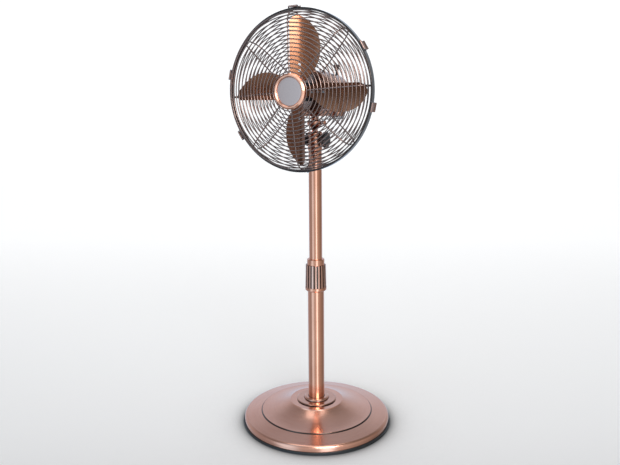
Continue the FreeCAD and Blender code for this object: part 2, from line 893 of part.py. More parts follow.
def blade_spider():
    """Hub with four arms behind the blades."""
    half = blade_sheet / 2
    deep = blade_trail_y - 20.0
    face = outline(
        lambda u, v: V(u, deep, head_z - v),
        (hub_r - 6.0, -arm_half), (arm_tip - 6.0, -arm_half), ((arm_tip, 0), (arm_tip - 6.0, arm_half)),
        (hub_r - 6.0, arm_half),
    )
    arm = face.extrude(Y * 80.0).common(bent_sheet(blade_camber + half, blade_camber + half + arm_sheet))
    for u in rivet_places():
        arm = arm.cut(rivet_at(u, rivet_r, -8.0, 16.0))
    hub = rod(hub_r, V(0, hub_front, head_z), Y, hub_back - hub_front)
    body = hub.fuse([about_head(arm, blade_angle(k)) for k in range(blade_count)])
    return body.cut(rod(shaft_r, V(0, hub_front, head_z), Y, hub_back - hub_front)).removeSplitter()


def blade_nut():
    """Round clamp nut on the end of the shaft."""
    nut = spun(
        (0, nut_front), (nut_r - 4.0, nut_front), (nut_r - 1.5, nut_front + 3.0),
        (nut_r, hub_front), (0, hub_front),
    )
    return nut.cut(rod(shaft_r, V(0, shaft_front, head_z), Y, hub_front - shaft_front))


# Guard


def guard_arcs(depth, shoulder):
    """Crown radius, and the angle where the crown arc runs into the shoulder arc."""
    flat = guard_edge_r - shoulder
    crown = (flat ** 2 + depth ** 2 - shoulder ** 2) / (2 * (depth - shoulder))
    return crown, math.asin(flat / (crown - shoulder))


def guard_point(depth, shoulder, length, inset=0.0):
    """(radius, rise above the rim) at a length along the guard's section from its axis."""
    crown, turn = guard_arcs(depth, shoulder)
    if length < crown * turn:
        a = length / crown
        return (crown - inset) * math.sin(a), depth - crown + (crown - inset) * math.cos(a)
    a = turn + (length - crown * turn) / shoulder
    return guard_edge_r - shoulder + (shoulder - inset) * math.sin(a), (shoulder - inset) * math.cos(a)


def guard_rings(plane, side, depth, shoulder):
    """Wire rings evenly spaced along the section, and the thick rim wire."""
    rings = [Part.makeTorus(guard_r - band_sheet - rim_wire_r - 0.05, rim_wire_r, V(0, plane, head_z), Y)]
    for k in range(ring_count):
        r, rise = guard_point(depth, shoulder, ring_start + ring_pitch * k)
        rings.append(Part.makeTorus(r, wire_r, V(0, plane + side * rise, head_z), Y))
    return Part.makeCompound(rings)


def guard_rib(plane, side, depth, shoulder):
    """One radial wire on the inside of the rings: crown arc, then shoulder arc."""
    crown, turn = guard_arcs(depth, shoulder)
    joint = crown * turn
    end = joint + shoulder * (math.pi / 2 - turn)

    def at(length):
        r, rise = guard_point(depth, shoulder, length, rib_offset)
        return V(r, plane + side * rise, head_z)

    crown_arc = Part.Arc(at(rib_in_r), at((rib_in_r + joint) / 2), at(joint)).toShape()
    shoulder_arc = Part.Arc(at(joint), at((joint + end) / 2), at(end)).toShape()
    path = Part.Wire([crown_arc, shoulder_arc])
    tangent = crown_arc.tangentAt(crown_arc.FirstParameter)
    section = Part.Wire([Part.makeCircle(rib_r, at(rib_in_r), tangent)])
    return path.makePipeShell([section], True, False)


def guard_ribs(plane, side, depth, shoulder):
    rib = guard_rib(plane, side, depth, shoulder)
    return Part.makeCompound([about_head(rib, rib_turn + 360 * k / rib_count) for k in range(rib_count)])


def front_guard_rings():
    return guard_rings(front_plane, -1, front_depth, front_shoulder)


def rear_guard_rings():
    return guard_rings(rear_plane, 1, rear_depth, rear_shoulder)


def front_guard_ribs():
    return guard_ribs(front_plane, -1, front_depth, front_shoulder)


def rear_guard_ribs():
    return guard_ribs(rear_plane, 1, rear_depth, rear_shoulder)


def rear_guard_plate():
    """Centre plate that joins the rear ribs and sits on the motor's nose."""
    back = rear_centre + wire_r
    return tube(plate_r, nose_r, V(0, back - plate_sheet, head_z), Y, plate_sheet).cut(
        rear_guard_ribs()
    )


def guard_nut():
    """Ring nut that holds the rear guard on the nose, with finger notches."""
    front = rear_centre + wire_r - plate_sheet - guard_nut_l
    nut = tube(guard_nut_r, nose_r, V(0, front, head_z), Y, guard_nut_l)
    for k in range(nut_notches):
        notch = on_head(guard_nut_r + 0.8, 360 * k / nut_notches, front)
        nut = nut.cut(rod(2.2, notch, Y, guard_nut_l))
    return nut


def rim_band():
    outer = guard_r
    inner = guard_r - band_sheet
    return spun(
        (inner, band_front + 0.4), (inner + 0.4, band_front), (outer - 0.3, band_front),
        (outer, band_front + 0.5), (outer, band_back - 0.5), (outer - 0.3, band_back),
        (inner + 0.4, band_back), (inner, band_back - 0.4),
    )


def badge_ring():
    """Raised ring and back plate at the centre of the front guard."""
    front = front_centre - badge_stand
    back = front + badge_ring_h
    floor = back - 2.0
    return spun(
        (0, floor), (badge_r, floor), (badge_r, front + 1.5), (badge_r + 2.0, front),
        (badge_ring_r - 4.0, front), (badge_ring_r, front + 3.5), (badge_ring_r, back), (0, back),
    ).cut(front_guard_ribs())


def badge_disc():
    """Plain disc let into the ring."""
    front = front_centre - badge_stand + badge_recess
    return rod(badge_r - 0.05, V(0, front, head_z), Y, badge_h)


# Clips


def clip_frame(degrees):
    """Outward, along the rim and pivot point of the clip at an angle."""
    a = math.radians(degrees)
    outward = V(math.cos(a), 0, math.sin(a))
    along = V(-math.sin(a), 0, math.cos(a))
    pivot = on_head(guard_r + clip_pin_lift, degrees, clip_pin_y)
    return outward, along, pivot


def clip_lever(degrees):
    """Spring lever: an eye on the pin, a strap over the band and a hook behind it."""
    low = guard_r + clip_lift
    strap = outline(
        lambda r, y: V(r, y, head_z),
        (low, band_front + 0.6), (low, band_back + 0.5), (low - clip_hook, band_back + 0.5),
        (low - clip_hook, band_back + 0.5 + clip_sheet), (low + clip_sheet, band_back + 0.5 + clip_sheet),
        (low + clip_sheet + 1.6, band_back + 4.6), (low + clip_sheet + 2.8, band_back + 4.0),
        (low + clip_sheet, band_back - 1.5), (low + clip_sheet, band_front + 0.6),
    ).extrude(Z * clip_w)
    strap.translate(Z * (-clip_w / 2))
    eye = tube(clip_pin_r + 1.4, clip_pin_r + run_fit, V(0, 0, 0), Z, clip_w)
    eye.translate(V(guard_r + clip_pin_lift, clip_pin_y, head_z - clip_w / 2))
    link = box(
        V(low + 0.4, band_front - 0.6, head_z - clip_w / 2),
        V(low + 0.4 + clip_sheet, band_front + 1.0, head_z + clip_w / 2),
    )
    hole = rod(clip_pin_r + run_fit, V(guard_r + clip_pin_lift, clip_pin_y, head_z - clip_w), Z, 2 * clip_w)
    return about_head(strap.fuse([eye, link]).cut(hole).removeSplitter(), degrees)


def clip_bracket(degrees):
    """Two ears on the front of the band and the pin between them."""
    ears = []
    for side in (-1, 1):
        centre = head_z + side * (clip_w / 2 + gap + ear_sheet / 2)
        ears.append(box(
            V(guard_r - 3.0, clip_pin_y - clip_pin_r - 1.0, centre - ear_sheet / 2),
            V(guard_r + clip_pin_lift + 1.4, band_front, centre + ear_sheet / 2),
        ))
    reach = clip_w / 2 + gap + ear_sheet
    pin = rod(clip_pin_r, V(guard_r + clip_pin_lift, clip_pin_y, head_z - reach), Z, 2 * reach)
    return about_head(pin.fuse(ears).removeSplitter(), degrees)


def clip_brackets():
    return Part.makeCompound([clip_bracket(a) for a in clip_angles])


def rim_screw():
    """Small screw that locks the two halves at the bottom of the rim."""
    head = rod(screw_head_r, V(guard_r + 0.05, band_y, head_z), X, screw_head_h)
    return about_head(head, screw_angle)


def write(name, shape):
    shape.exportStep("parts/" + name + ".step")
    solids = shape.Solids
    print(name, len(solids), "valid" if shape.isValid() else "BAD", round(sum(s.Volume for s in solids)))


def main():
    os.makedirs("parts", exist_ok=True)
    pieces = [
        base_rubber_ring, base_weight, base_cover, pole_flange, pole_socket, outer_tube, base_bolt,
        collar_seat, clamp_collet, collar_grip, collar_cap, inner_tube, guide_bush, neck_cup,
        tilt_bolt, tilt_end_cap, tilt_knob_grip, tilt_knob_insert, tilt_tongue, osc_spindle,
        thrust_washer, anchor_pin, housing_front, housing_rear, head_saddle, motor_brackets,
        motor_bearings, stator_core, stator_windings, capacitor, speed_switch, cord_gland, gear_case,
        worm_wheel, crank, swing_link, swing_knob, speed_dial, rotor_shaft, rotor_core, fan_blades,
        blade_rivets, blade_spider, blade_nut, rear_guard_plate, guard_nut, rear_guard_rings,
        rear_guard_ribs, front_guard_rings, front_guard_ribs, rim_band, badge_ring, badge_disc,
        clip_brackets, rim_screw,
    ]
    for piece in pieces:
        write(piece.__name__, piece())
    for k, angle in enumerate(clip_angles):
        write("clip_lever_%d" % (k + 1), clip_lever(angle))


main()
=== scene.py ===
# %% [markdown]
# # A pedestal fan in antique copper
# The solids of this fan are already designed: every tube, wire, blade and clip is a CAD part in its
# right place and with its right shape. This lesson gives them their finishes and their light, and
# models again the one piece whose look depends on a soft crown and a rolled edge: the badge.

# %% Load the fan and measure it
import bpy
import bmesh
import json
import math
from mathutils import Matrix, Vector


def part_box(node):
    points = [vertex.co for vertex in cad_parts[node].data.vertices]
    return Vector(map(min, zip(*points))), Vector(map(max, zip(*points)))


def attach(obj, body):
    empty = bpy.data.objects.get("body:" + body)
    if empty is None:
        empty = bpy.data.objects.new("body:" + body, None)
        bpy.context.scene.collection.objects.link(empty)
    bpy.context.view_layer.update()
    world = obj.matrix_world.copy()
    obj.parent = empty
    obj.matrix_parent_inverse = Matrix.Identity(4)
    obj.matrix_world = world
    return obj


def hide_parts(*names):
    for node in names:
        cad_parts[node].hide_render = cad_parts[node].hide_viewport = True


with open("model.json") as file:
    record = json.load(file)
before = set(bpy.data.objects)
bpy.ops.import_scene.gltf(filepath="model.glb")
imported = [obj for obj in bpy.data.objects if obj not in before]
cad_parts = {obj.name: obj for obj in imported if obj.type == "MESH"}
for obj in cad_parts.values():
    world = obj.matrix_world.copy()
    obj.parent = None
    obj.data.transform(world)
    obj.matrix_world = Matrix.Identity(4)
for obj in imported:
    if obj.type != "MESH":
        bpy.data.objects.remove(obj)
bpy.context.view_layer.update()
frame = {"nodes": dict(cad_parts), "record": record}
nodes = frame["nodes"]

# %% [markdown]
# Places come from the CAD boxes, so the scene follows the model if a size changes. A box has a lowest
# and a highest corner. The motor's axis is the middle of the rim band, and the blades turn about it.

# %% Places that the pieces share


def middle(name):
    low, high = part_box(name)
    return (Vector(low) + Vector(high)) / 2


def span(name):
    low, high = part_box(name)
    return Vector(high) - Vector(low)


head_z = middle("rim_band").z
guard_r = span("rim_band").z / 2
print("motor axis at", round(head_z, 4), "rim radius", round(guard_r, 4))

# %% [markdown]
# ## The camera
# A product camera stands a little below the head and looks slightly down, so the base opens into an
# ellipse. Its axes are built from the view direction, which keeps the small roll exact.

# %% Camera
camera_turn = math.radians(27.27)
camera_yaw = math.radians(0.494)
camera_pitch = math.radians(11.28)
camera_roll = math.radians(0.442)
camera_reach = 1.855
camera_height = 0.9438
camera_lens = 38.27
camera_sensor = 36.0

heading = camera_turn + camera_yaw
level = Vector((-math.sin(heading), math.cos(heading), 0))
right = Vector((math.cos(heading), math.sin(heading), 0))
look = level * math.cos(camera_pitch) - Vector((0, 0, math.sin(camera_pitch)))
upward = right.cross(look)
roll = Matrix.Rotation(camera_roll, 3, look)
right = roll @ right
upward = roll @ upward

camera_data = bpy.data.cameras.new("camera")
camera_data.lens = camera_lens
camera_data.sensor_width = camera_sensor
camera = bpy.data.objects.new("camera", camera_data)
bpy.context.scene.collection.objects.link(camera)
turn = Matrix((right, upward, -look)).transposed()
stand_x = camera_reach * math.sin(camera_turn)
stand_y = -camera_reach * math.cos(camera_turn)
camera.matrix_world = Matrix.Translation((stand_x, stand_y, camera_height)) @ turn.to_4x4()
bpy.context.scene.camera = camera
print("camera at", round(stand_x, 3), round(stand_y, 3), camera_height, "m, lens", camera_lens, "mm")

# %% [markdown]
# ## Helpers
# A material is a tree of small nodes. A few short functions keep each tree readable: they add a node,
# do a sum, change a range, mix two colours, or start a material. One more makes a piece from a mesh.

# %% Node helpers


def add_node(tree, kind, **inputs):
    """A node with some of its inputs set, by name; an underscore in a name stands for a space."""
    node = tree.nodes.new(kind)
    for name, value in inputs.items():
        node.inputs[name.replace("_", " ")].default_value = value
    return node


def maths(tree, operation, first, second=None, clamp=False):
    """A maths node on sockets or numbers."""
    node = tree.nodes.new("ShaderNodeMath")
    node.operation = operation
    node.use_clamp = clamp
    for k, value in enumerate((first, second)):
        if value is None:
            continue
        if isinstance(value, (int, float)):
            node.inputs[k].default_value = value
        else:
            tree.links.new(value, node.inputs[k])
    return node.outputs[0]


def remap(tree, value, low, high, out_low=0.0, out_high=1.0):
    """Linear change of range, clamped."""
    node = tree.nodes.new("ShaderNodeMapRange")
    tree.links.new(value, node.inputs["Value"])
    node.inputs["From Min"].default_value = low
    node.inputs["From Max"].default_value = high
    node.inputs["To Min"].default_value = out_low
    node.inputs["To Max"].default_value = out_high
    return node.outputs["Result"]


def blend_colour(tree, mask, first, second):
    """Mixes two colours, or sockets of colour, by a mask."""
    node = tree.nodes.new("ShaderNodeMix")
    node.data_type = "RGBA"
    tree.links.new(mask, node.inputs["Factor"])
    for slot, value in (("A", first), ("B", second)):
        socket = next(s for s in node.inputs if s.name == slot and s.type == "RGBA")
        if isinstance(value, tuple):
            socket.default_value = (*value, 1)
        else:
            tree.links.new(value, socket)
    return next(s for s in node.outputs if s.type == "RGBA")


def dot(tree, vector, direction):
    """How far a vector socket reaches along a fixed direction."""
    node = tree.nodes.new("ShaderNodeVectorMath")
    node.operation = "DOT_PRODUCT"
    node.inputs[1].default_value = direction
    tree.links.new(vector, node.inputs[0])
    return node.outputs["Value"]


def start_material(name):
    material = bpy.data.materials.new(name)
    material.use_nodes = True
    tree = material.node_tree
    return material, tree, tree.nodes["Principled BSDF"]


# %% Piece helper


def new_piece(name, mesh_maker, material, body=None):
    """A smooth mesh object made by a function that fills a bmesh; it can ride on a body."""
    bm = bmesh.new()
    mesh_maker(bm)
    mesh = bpy.data.meshes.new(name)
    bm.to_mesh(mesh)
    bm.free()
    piece = bpy.data.objects.new(name, mesh)
    bpy.context.scene.collection.objects.link(piece)
    mesh.materials.append(material)
    for face in mesh.polygons:
        face.use_smooth = True
    if body:
        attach(piece, body)
    return piece


# %% [markdown]
# ## Floor and light
# A sweep is a floor that curves up into a wall, so no horizon shows. It lies a hair below the base, so
# the two faces never share a plane.

# %% Floor sweep


def fill_sweep(bm):
    """A floor strip, a quarter bend and a wall, drawn out sideways."""
    back, bend, wall, front, side = 2.6, 1.6, 6.0, -7.0, 7.0
    steps = 24
    drop = 0.0002
    outline = [(front, 0.0), (back, 0.0)]
    for k in range(1, steps + 1):
        a = math.pi / 2 * k / steps
        outline.append((back + bend * math.sin(a), bend - bend * math.cos(a)))
    outline.append((back + bend, wall))
    points = [bm.verts.new(level * along + right * -side + Vector((0, 0, up))) for along, up in outline]
    edges = [bm.edges.new(pair) for pair in zip(points, points[1:])]
    drawn = bmesh.ops.extrude_edge_only(bm, edges=edges)
    moved = [v for v in drawn["geom"] if isinstance(v, bmesh.types.BMVert)]
    bmesh.ops.translate(bm, vec=right * 2 * side, verts=moved)
    bmesh.ops.translate(bm, vec=Vector((0, 0, -drop)), verts=bm.verts)
    bmesh.ops.recalc_face_normals(bm, faces=bm.faces)


# %% [markdown]
# The paper glows a little, as if lamps lit it. The glow is weakest along a line just before the fan and
# grows both ways from there, towards the wall and towards the camera. Ambient occlusion takes glow and
# tone away where the base stands close over the floor, which is what a soft shadow does.

# %% Paper and sweep
paper_tone = (0.675, 0.637, 0.605)
paper_roughness = 0.95
paper_glow = 0.44
paper_least = 0.11
dim_place = -0.4
wall_share = 0.8
glow_reach = 3.4
glow_curve = 0.4
shade_reach = 0.22
shade_power = 3.2


def paper_material():
    """Pale paper that glows away from its dim line and is shaded close to the fan."""
    material, tree, shader = start_material("studio_paper")
    shader.inputs["Roughness"].default_value = paper_roughness
    place = tree.nodes.new("ShaderNodeTexCoord")
    along = dot(tree, place.outputs["Object"], level + Vector((0, 0, wall_share)))
    distance = maths(tree, "ABSOLUTE", maths(tree, "SUBTRACT", along, dim_place))
    growth = maths(tree, "POWER", remap(tree, distance, 0.0, glow_reach), glow_curve)
    glow = maths(tree, "ADD", maths(tree, "MULTIPLY", growth, paper_glow), paper_least)
    nearby = add_node(tree, "ShaderNodeAmbientOcclusion", Distance=shade_reach)
    open_share = maths(tree, "POWER", nearby.outputs["AO"], shade_power)
    tone = tree.nodes.new("ShaderNodeVectorMath")
    tone.operation = "SCALE"
    tone.inputs[0].default_value = paper_tone
    tree.links.new(open_share, tone.inputs["Scale"])
    tree.links.new(tone.outputs[0], shader.inputs["Base Color"])
    tree.links.new(maths(tree, "MULTIPLY", glow, open_share), shader.inputs["Emission Strength"])
    shader.inputs["Emission Color"].default_value = (1, 1, 1, 1)
    return material


sweep = new_piece("studio_sweep", fill_sweep, paper_material())
sweep.visible_glossy = False
print("sweep", len(sweep.data.polygons), "faces")

# %% [markdown]
# Polished tubes show their surroundings squeezed into upright bands, so the surroundings are designed
# like a product photographer's tent: two pale strips, grey between them, and a paler back. A ramp over
# the compass direction in the world does that without a single lamp, and without noise. 0 degrees is
# towards the camera, positive turns to its right, and the tent dims well above and below eye level.

# %% Surroundings
tent = (
    (-180, (0.62, 0.72, 0.88)), (-130, (0.45, 0.50, 0.58)), (-100, (0.34, 0.37, 0.42)),
    (-70, (0.34, 0.38, 0.44)), (-53, (0.85, 1.15, 1.45)), (-38, (0.80, 1.10, 1.40)),
    (-24, (0.50, 0.55, 0.60)), (3, (0.62, 0.68, 0.74)), (9, (1.70, 2.05, 2.40)),
    (21, (1.60, 1.95, 2.30)), (30, (0.60, 0.60, 0.62)), (60, (0.38, 0.38, 0.38)),
    (105, (0.23, 0.23, 0.23)), (150, (0.50, 0.56, 0.64)), (180, (0.62, 0.72, 0.88)),
)


fade_start = 0.38
fade_end = 0.66
steep_strength = 0.60


def tent_colour(tree, direction):
    """The tent's colour for a direction, from its place round the compass."""
    turned = maths(tree, "ARCTAN2", dot(tree, direction, right), dot(tree, direction, -level))
    ramp = tree.nodes.new("ShaderNodeValToRGB")
    tree.links.new(remap(tree, turned, -math.pi, math.pi), ramp.inputs["Fac"])
    stops = ramp.color_ramp.elements
    stops.remove(stops[1])
    stops[0].position = 0.0
    stops[0].color = (*tent[0][1], 1)
    for degrees, colour in tent[1:]:
        stops.new((degrees + 180) / 360).color = (*colour, 1)
    return ramp.outputs["Color"]


def build_world():
    """The tent for reflections and light, and plain white for what the camera sees directly."""
    world = bpy.data.worlds.new("studio")
    world.use_nodes = True
    tree = world.node_tree
    direction = tree.nodes.new("ShaderNodeTexCoord").outputs["Generated"]
    background = tree.nodes["Background"]
    tree.links.new(tent_colour(tree, direction), background.inputs["Color"])
    parts = tree.nodes.new("ShaderNodeSeparateXYZ")
    tree.links.new(direction, parts.inputs[0])
    steepness = maths(tree, "ABSOLUTE", parts.outputs["Z"])
    fade = remap(tree, steepness, fade_start, fade_end, 1.0, steep_strength)
    tree.links.new(fade, background.inputs["Strength"])
    plain = add_node(tree, "ShaderNodeBackground", Color=(1, 1, 1, 1))
    path = tree.nodes.new("ShaderNodeLightPath")
    mix = tree.nodes.new("ShaderNodeMixShader")
    tree.links.new(path.outputs["Is Camera Ray"], mix.inputs[0])
    tree.links.new(background.outputs[0], mix.inputs[1])
    tree.links.new(plain.outputs[0], mix.inputs[2])
    tree.links.new(mix.outputs[0], tree.nodes["World Output"].inputs["Surface"])
    return world


bpy.context.scene.world = build_world()
bpy.context.scene.view_settings.view_transform = "Standard"
print("tent of", len(tent), "colours")

# %% [markdown]
# Three lamps add the highlights. The soft box stands above eye level and is seen by reflections only,
# so it draws a bright shape on the head without lighting the floor.

# %% Lamps


def panel(name, aim, place, width, height, power):
    """A soft rectangular light that faces a point."""
    light = bpy.data.lights.new(name, "AREA")
    light.shape = "RECTANGLE"
    light.size = width
    light.size_y = height
    light.energy = power
    lamp = bpy.data.objects.new(name, light)
    bpy.context.scene.collection.objects.link(lamp)
    lamp.location = place
    lamp.rotation_mode = "QUATERNION"
    lamp.rotation_quaternion = (Vector(place) - Vector(aim)).to_track_quat("Z", "Y")
    return lamp


def around(turn_degrees, reach, height):
    """A place round the pole: 0 is towards the camera, positive turns to the camera's right."""
    a = heading + math.radians(turn_degrees)
    return Vector((reach * math.sin(a), -reach * math.cos(a), height))


lamp_turn = 15
lamp_reach = 2.6
soft_place = around(lamp_turn, lamp_reach, 1.75)
front_place = around(lamp_turn, lamp_reach, 2.2)
top_place = Vector((0, -0.2, 2.9))
soft_box = panel("soft_box", aim=(0, 0, 1.0), place=soft_place, width=1.5, height=0.9, power=26)
soft_box.visible_diffuse = False
panel("front_panel", aim=(0, 0, 0.6), place=front_place, width=1.5, height=1.5, power=20)
panel("top_panel", aim=(0, 0, 0.5), place=top_place, width=2.0, height=2.0, power=12)
print("3 lamps, the front ones at", lamp_turn, "degrees")

# %% [markdown]
# ## Shared effects
# Several finishes use the same effects, so each effect is a node group with named inputs. The group
# gives masks only; the shader itself stays in the material, where its plain values are set.

# %% Group helpers


def new_group(name, inputs, outputs):
    """An empty node group with its sockets."""
    group = bpy.data.node_groups.new(name, "ShaderNodeTree")
    for label, kind, value in inputs:
        socket = group.interface.new_socket(name=label, in_out="INPUT", socket_type=kind)
        socket.default_value = value
    for label in outputs:
        group.interface.new_socket(name=label, in_out="OUTPUT", socket_type="NodeSocketFloat")
    return group, group.nodes.new("NodeGroupInput"), group.nodes.new("NodeGroupOutput")


def use_group(tree, group, **inputs):
    node = tree.nodes.new("ShaderNodeGroup")
    node.node_tree = group
    for name, value in inputs.items():
        node.inputs[name.replace("_", " ")].default_value = value
    return node


# %% [markdown]
# **Brushed grain.** A belt leaves long fine scratches. A noise that is squeezed hard across them and
# barely along them looks the same. *Stretch* holds the frequency along each axis, per metre.

# %% Brushed grain group


def make_brushed_grain():
    group, given, made = new_group(
        "brushed_grain", [("Stretch", "NodeSocketVector", (900.0, 900.0, 12.0))], ["Grain"]
    )
    place = group.nodes.new("ShaderNodeTexCoord")
    scale = group.nodes.new("ShaderNodeVectorMath")
    scale.operation = "MULTIPLY"
    group.links.new(place.outputs["Object"], scale.inputs[0])
    group.links.new(given.outputs["Stretch"], scale.inputs[1])
    noise = add_node(group, "ShaderNodeTexNoise", Scale=1.0, Detail=3.0, Roughness=0.6)
    group.links.new(scale.outputs[0], noise.inputs["Vector"])
    group.links.new(noise.outputs["Fac"], made.inputs["Grain"])
    return group


brushed_grain = make_brushed_grain()
print("group", brushed_grain.name)

# %% [markdown]
# **Turned grain.** The base was polished while it spun, so its scratches are circles. The same noise
# works when it is given the distance from the pole instead of x and y, plus a little of the angle so
# that no circle is perfect.

# %% Turned grain group


def make_turned_grain():
    group, given, made = new_group(
        "turned_grain",
        [("Rings per metre", "NodeSocketFloat", 1200.0), ("Round", "NodeSocketFloat", 3.0)],
        ["Grain", "Radius"],
    )
    place = group.nodes.new("ShaderNodeTexCoord")
    parts = group.nodes.new("ShaderNodeSeparateXYZ")
    group.links.new(place.outputs["Object"], parts.inputs[0])
    x, y, z = parts.outputs
    squares = maths(group, "ADD", maths(group, "MULTIPLY", x, x), maths(group, "MULTIPLY", y, y))
    radius = maths(group, "SQRT", squares)
    join = group.nodes.new("ShaderNodeCombineXYZ")
    rings = given.outputs["Rings per metre"]
    group.links.new(maths(group, "MULTIPLY", radius, rings), join.inputs[0])
    group.links.new(maths(group, "MULTIPLY", z, rings), join.inputs[1])
    turn = maths(group, "ARCTAN2", y, x)
    group.links.new(maths(group, "MULTIPLY", turn, given.outputs["Round"]), join.inputs[2])
    noise = add_node(group, "ShaderNodeTexNoise", Scale=1.0, Detail=3.0, Roughness=0.6)
    group.links.new(join.outputs[0], noise.inputs["Vector"])
    group.links.new(noise.outputs["Fac"], made.inputs["Grain"])
    group.links.new(radius, made.inputs["Radius"])
    return group


turned_grain = make_turned_grain()
print("group", turned_grain.name)

# %% [markdown]
# **Patina.** Antique copper is plated, darkened and rubbed back by hand, so its tone drifts over
# centimetres and has small darker specks. **Dust** settles on faces that look up.

# %% Patina and dust groups


def make_patina():
    group, given, made = new_group(
        "patina",
        [("Drift", "NodeSocketFloat", 9.0), ("Specks", "NodeSocketFloat", 420.0)],
        ["Cloud", "Speck"],
    )
    place = group.nodes.new("ShaderNodeTexCoord")
    cloud = add_node(group, "ShaderNodeTexNoise", Detail=4.0, Roughness=0.55)
    group.links.new(place.outputs["Object"], cloud.inputs["Vector"])
    group.links.new(given.outputs["Drift"], cloud.inputs["Scale"])
    group.links.new(remap(group, cloud.outputs["Fac"], 0.32, 0.68), made.inputs["Cloud"])
    speck = add_node(group, "ShaderNodeTexNoise", Detail=2.0, Roughness=0.7)
    group.links.new(place.outputs["Object"], speck.inputs["Vector"])
    group.links.new(given.outputs["Specks"], speck.inputs["Scale"])
    group.links.new(remap(group, speck.outputs["Fac"], 0.62, 0.74), made.inputs["Speck"])
    return group


def make_dust():
    group, given, made = new_group(
        "dust", [("Cover", "NodeSocketFloat", 0.25), ("Fineness", "NodeSocketFloat", 160.0)], ["Dust"]
    )
    place = group.nodes.new("ShaderNodeTexCoord")
    parts = group.nodes.new("ShaderNodeSeparateXYZ")
    facing = group.nodes.new("ShaderNodeNewGeometry")
    group.links.new(facing.outputs["Normal"], parts.inputs[0])
    level_share = maths(group, "POWER", maths(group, "MAXIMUM", parts.outputs[2], 0.0), 3.0)
    noise = add_node(group, "ShaderNodeTexNoise", Detail=5.0, Roughness=0.75)
    group.links.new(place.outputs["Object"], noise.inputs["Vector"])
    group.links.new(given.outputs["Fineness"], noise.inputs["Scale"])
    spots = remap(group, noise.outputs["Fac"], 0.40, 0.80)
    spotted = maths(group, "MULTIPLY", level_share, spots)
    cover = maths(group, "MULTIPLY", spotted, given.outputs["Cover"], clamp=True)
    group.links.new(cover, made.inputs["Dust"])
    return group


patina = make_patina()
dust = make_dust()
print("groups", patina.name, "and", dust.name)

# %% [markdown]
# ## Finishes
# One maker builds every copper: two tones mixed by grain and patina, roughness that follows the grain,
# and a very small bump along the scratches. Metallic stays at one, because plating is metal all over.

# %% Copper maker


def add_bump(tree, shader, height, strength, distance):
    bump = add_node(tree, "ShaderNodeBump", Strength=strength, Distance=distance)
    tree.links.new(height, bump.inputs["Height"])
    tree.links.new(bump.outputs["Normal"], shader.inputs["Normal"])


def step_shade_mask(tree, value, shade_lines):
    """A mask for painted shade lines: one at each line's place, falling to nothing at its half width."""
    total = None
    for place, half in shade_lines:
        off = maths(tree, "ABSOLUTE", maths(tree, "SUBTRACT", value, place))
        line = remap(tree, off, half * 0.4, half, 1.0, 0.0)
        total = line if total is None else maths(tree, "MAXIMUM", total, line)
    return total


grain_span = (0.3, 0.7)
fine_share = 0.55
wide_share = 0.45
speck_share = 0.25
tone_drift = 9.0
copper_dust = (0.55, 0.50, 0.47)
dust_roughness = 0.35
lacquer_roughness = 0.08
scratch_strength = 0.35
# The tone of the painted shade lines at the steps of the base and the flange.
step_shade_tone = (0.060, 0.032, 0.022)


def copper(
    name, light, dark, roughness, grain, grain_depth=0.00001, cover=0.12, lacquer=0.6, shade_lines=()
):
    """Antique copper under lacquer; grain is a (group, inputs) pair, and each painted shade line is a
    (radius, half width) pair.
    """
    material, tree, shader = start_material(name)
    scratches = use_group(tree, grain[0], **grain[1]).outputs["Grain"]
    age = use_group(tree, patina, Drift=tone_drift)
    settled = use_group(tree, dust, Cover=cover).outputs["Dust"]
    fine_tone = remap(tree, scratches, *grain_span, 0.0, fine_share)
    wide_tone = remap(tree, age.outputs["Cloud"], 0.0, 1.0, 0.0, wide_share)
    tone = maths(tree, "ADD", fine_tone, wide_tone)
    colour = blend_colour(tree, tone, dark, light)
    speck = maths(tree, "MULTIPLY", age.outputs["Speck"], speck_share)
    colour = blend_colour(tree, speck, colour, tuple(c * 0.5 for c in dark))
    colour = blend_colour(tree, settled, colour, copper_dust)
    # Painted shade: dark lines laid over the copper at the steps, by distance from the pole.
    if shade_lines:
        radius = use_group(tree, turned_grain).outputs["Radius"]
        colour = blend_colour(tree, step_shade_mask(tree, radius, shade_lines), colour, step_shade_tone)
    tree.links.new(colour, shader.inputs["Base Color"])
    shader.inputs["Metallic"].default_value = 1.0
    shader.inputs["Coat Weight"].default_value = lacquer
    shader.inputs["Coat Roughness"].default_value = lacquer_roughness
    bare_rough = remap(tree, scratches, *grain_span, roughness * 0.85, roughness * 1.2)
    dusty_rough = maths(tree, "MULTIPLY", settled, dust_roughness)
    tree.links.new(maths(tree, "ADD", bare_rough, dusty_rough), shader.inputs["Roughness"])
    add_bump(tree, shader, scratches, scratch_strength, grain_depth)
    return material


# %% [markdown]
# The steps of the base, the flange rings and the foot of the pole get fine painted shade lines, where
# shade falls at each step. Each line is a radius and a half width, in metres from the pole's axis.

